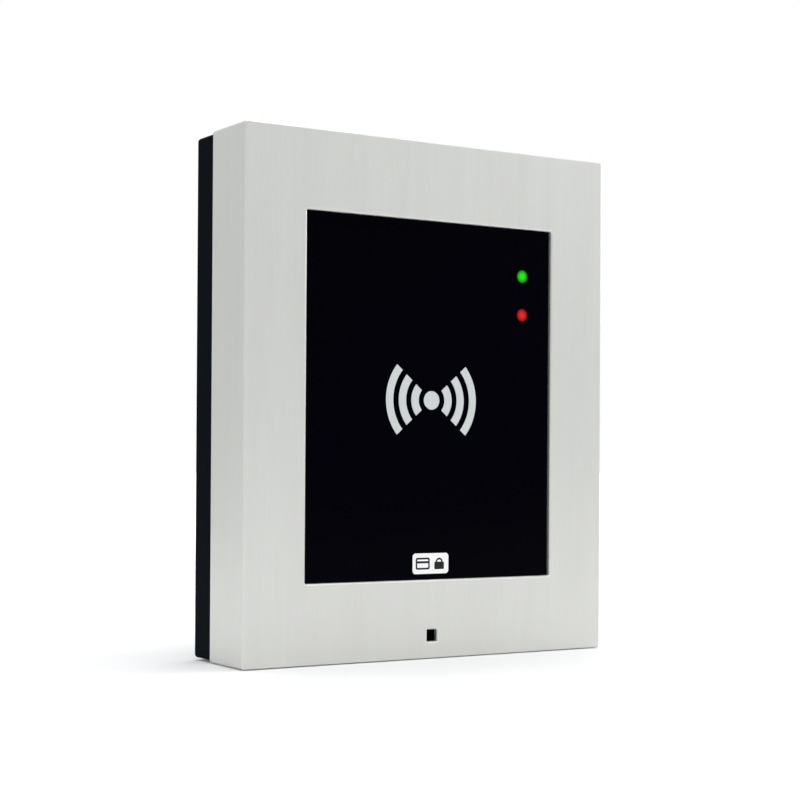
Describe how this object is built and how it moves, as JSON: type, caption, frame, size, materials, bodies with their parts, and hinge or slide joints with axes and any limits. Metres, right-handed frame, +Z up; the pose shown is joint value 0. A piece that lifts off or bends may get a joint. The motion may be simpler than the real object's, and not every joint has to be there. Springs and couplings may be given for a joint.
{
  "type": "rfid card reader",
  "caption": "Wall-mounted contactless card reader: brushed metal front frame with a black window, status lights and a sound port, hooked over a black wall box.",
  "frame": {"origin": "centre of the back, in the wall plane, at the middle of the four wall slots", "axes": "+Z up, the reader faces -Y, +Y into the wall, +X to the right as seen from the front"},
  "size_m": [0.107, 0.027, 0.13],
  "materials": {
    "black_box": "fine moulded satin, blue-black",
    "rubber_black": "matt rubber",
    "frame_metal": "brushed vertically, satin nickel",
    "panel_black": "polished, near black",
    "print_pale": "printed pale grey",
    "print_black": "printed black",
    "lens_green": "lit green",
    "lens_red": "lit red",
    "housing_black": "moulded matt black",
    "steel_zinc": "zinc-plated steel",
    "brass": "turned brass",
    "board_green": "solder mask",
    "copper": "copper track under mask",
    "ferrite": "dark grey ferrite film",
    "chip_black": "moulded epoxy",
    "can_aluminium": "drawn aluminium cans",
    "relay_body": "dark blue case",
    "ceramic_chip": "sintered chips",
    "led_chip": "clear epoxy on white",
    "terminal_green": "moulded green polyamide",
    "button_grey": "moulded grey",
    "flex_amber": "polyimide film",
    "spring_steel": "drawn spring wire"
  },
  "bodies": {
    "wall_box": {"back_box": "black_box", "wall_gasket": "rubber_black", "cable_grommet": "rubber_black", "lock_bushes": "brass", "cable_clamp": "black_box", "cable_clamp_screws": "steel_zinc"},
    "front": {"front_frame": "frame_metal", "hinge_hooks": "steel_zinc", "hook_screws": "steel_zinc", "window_panel": "panel_black", "window_seal": "rubber_black", "card_symbol": "print_pale", "badge_plate": "print_pale", "badge_marks": "print_black", "lens_green": "lens_green", "lens_red": "lens_red", "light_shield": "housing_black", "status_leds": "led_chip", "module_housing": "housing_black", "antenna_board": "board_green", "antenna_coil": "copper", "ferrite_sheet": "ferrite", "board_link": "chip_black", "main_board": "board_green", "controller_chip": "chip_black", "radio_chip": "chip_black", "memory_chips": "chip_black", "crystals": "can_aluminium", "power_inductor": "ferrite", "capacitors": "can_aluminium", "chip_resistors": "ceramic_chip", "relay": "relay_body", "module_cover": "housing_black", "cover_screws": "steel_zinc", "module_clamps": "steel_zinc", "clamp_screws": "steel_zinc", "port_boot": "rubber_black", "port_membrane": "rubber_black", "sounder": "can_aluminium", "sounder_flex": "flex_amber", "flex_socket": "print_pale", "terminal_header": "terminal_green", "header_pins": "brass", "tamper_switch": "chip_black", "tamper_spring": "spring_steel", "reset_switch": "steel_zinc"},
    "lock_left": {"lock_screw_left": "steel_zinc"},
    "lock_right": {"lock_screw_right": "steel_zinc"},
    "plug": {"terminal_plug": "terminal_green", "terminal_screws": "steel_zinc"},
    "plunger": {"tamper_plunger": "button_grey"},
    "reset": {"reset_cap": "button_grey"}
  },
  "joints": [
    {"name": "front_tilt", "type": "hinge", "parent": "wall_box", "child": "front", "pos_m": [0, -0.0096, 0.065], "axis": [-1, 0, 0], "range_deg": [0, 35]},
    {"name": "lock_left_drive", "type": "slide", "parent": "front", "child": "lock_left", "axis": [0, 0, 1], "range_m": [0, 0.0035]},
    {"name": "lock_right_drive", "type": "slide", "parent": "front", "child": "lock_right", "axis": [0, 0, 1], "range_m": [0, 0.0035]},
    {"name": "plug_pull", "type": "slide", "parent": "front", "child": "plug", "axis": [0, 0, 1], "range_m": [0, 0.011]},
    {"name": "tamper_travel", "type": "slide", "parent": "front", "child": "plunger", "axis": [0, 1, 0], "range_m": [0, 0.0012], "deforming": ["tamper_spring"]},
    {"name": "reset_press", "type": "slide", "parent": "front", "child": "reset", "axis": [0, -1, 0], "range_m": [0, 0.0004], "stiffness_N_per_m": 800, "springref_m": -0.0002}
  ],
  "couplings": [
    {"joint": "tamper_travel", "follows": "front_tilt", "m_per_rad": 0.001964}
  ]
}
